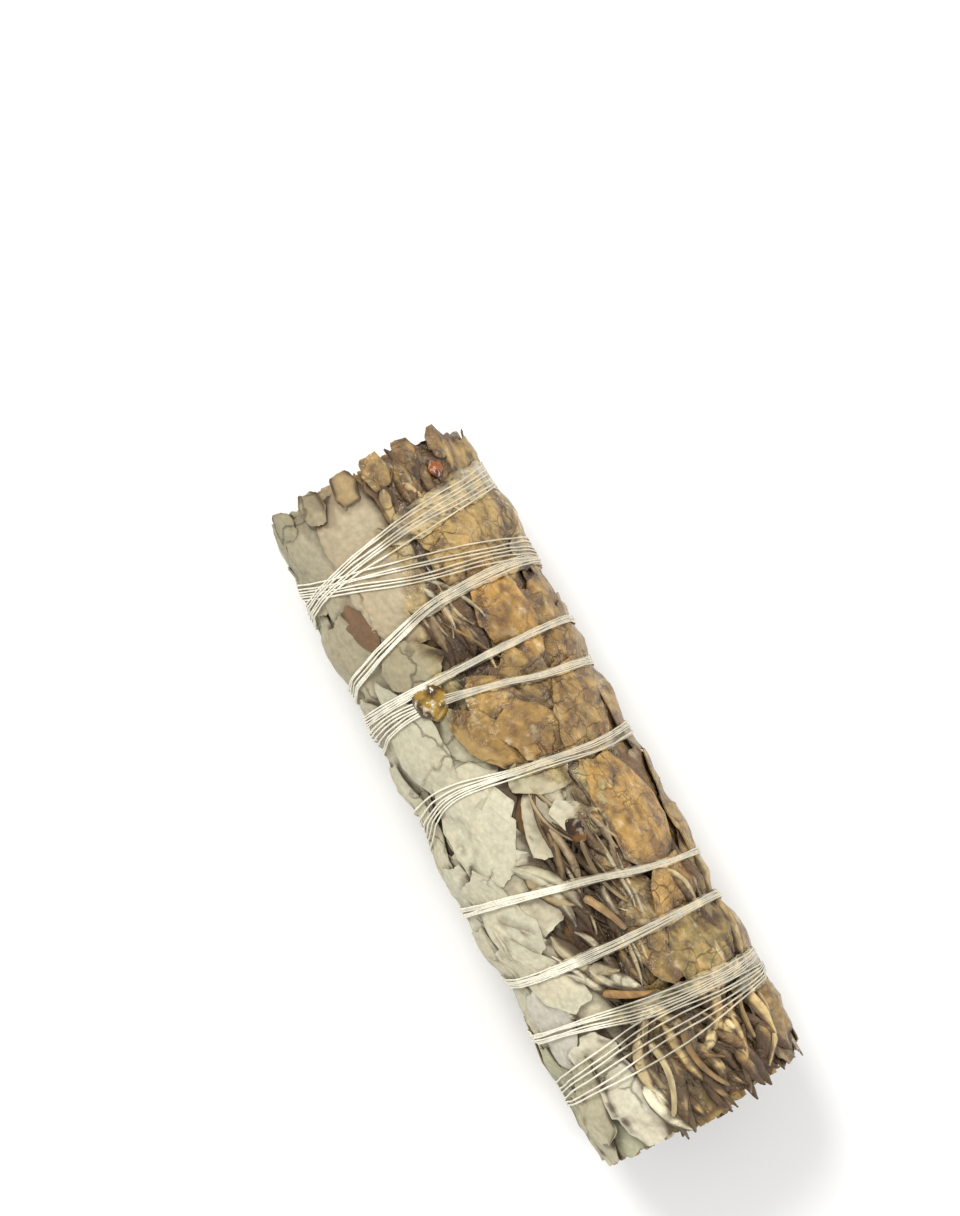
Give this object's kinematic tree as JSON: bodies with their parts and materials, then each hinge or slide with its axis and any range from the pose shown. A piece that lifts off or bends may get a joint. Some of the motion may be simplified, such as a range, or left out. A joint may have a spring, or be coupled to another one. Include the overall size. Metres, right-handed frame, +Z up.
{
  "type": "sage bunch",
  "caption": "Dried white sage leaves and stems packed into a round bundle, bound with a wound cotton thread, resin on one flank, lying on its side",
  "frame": {"origin": "centre of the bounding box's bottom face, on the surface that the bundle rests on", "axes": "+X along the bundle, +Y towards the resin-covered flank, +Z up from the surface"},
  "size_m": [0.1008, 0.0346, 0.0349],
  "materials": {
    "leaf_pale": "dry leaf, velvety grey-green to beige",
    "leaf_olive": "dry leaf, olive brown",
    "leaf_resin": "dry leaf soaked in glossy golden-brown resin",
    "stem": "dry woody stem, tan to orange brown",
    "cotton": "loosely twisted cream cotton",
    "resin": "hardened amber resin, glossy"
  },
  "bodies": {
    "root": {"back_leaf_1": "leaf_olive", "back_leaf_2": "leaf_pale", "back_leaf_3": "leaf_pale", "back_leaf_4": "leaf_olive", "back_leaf_5": "leaf_pale", "core_stem_1": "stem", "core_stem_2": "stem", "core_stem_3": "stem", "core_stem_4": "stem", "core_stem_5": "stem", "cotton_thread": "cotton", "pale_leaf_1": "leaf_pale", "pale_leaf_2": "leaf_pale", "pale_leaf_3": "leaf_pale", "pale_leaf_4": "leaf_pale", "pale_leaf_5": "leaf_pale", "pale_leaf_6": "leaf_pale", "pale_leaf_7": "leaf_pale", "pale_leaf_8": "leaf_pale", "pale_leaf_9": "leaf_pale", "resin_drop_1": "resin", "resin_drop_2": "resin", "resin_drop_3": "resin", "resin_leaf_1": "leaf_resin", "resin_leaf_2": "leaf_resin", "resin_leaf_3": "leaf_resin", "resin_leaf_4": "leaf_resin", "resin_leaf_5": "leaf_resin", "resin_leaf_6": "leaf_resin", "resin_leaf_7": "leaf_olive", "resin_leaf_8": "leaf_olive", "rolled_leaf_1": "leaf_olive", "rolled_leaf_10": "leaf_olive", "rolled_leaf_11": "leaf_olive", "rolled_leaf_12": "leaf_olive", "rolled_leaf_13": "leaf_olive", "rolled_leaf_2": "leaf_olive", "rolled_leaf_3": "leaf_olive", "rolled_leaf_4": "leaf_olive", "rolled_leaf_5": "leaf_olive", "rolled_leaf_6": "leaf_olive", "rolled_leaf_7": "leaf_olive", "rolled_leaf_8": "leaf_olive", "rolled_leaf_9": "leaf_olive", "surface_stalk_1": "stem", "surface_stalk_2": "stem", "surface_stalk_3": "stem", "surface_stalk_4": "stem", "under_leaf_1": "leaf_resin", "under_leaf_10": "leaf_pale", "under_leaf_2": "leaf_resin", "under_leaf_3": "leaf_olive", "under_leaf_4": "leaf_pale", "under_leaf_5": "leaf_pale", "under_leaf_6": "leaf_resin", "under_leaf_7": "leaf_olive", "under_leaf_8": "leaf_olive", "under_leaf_9": "leaf_pale"}
  },
  "joints": []
}
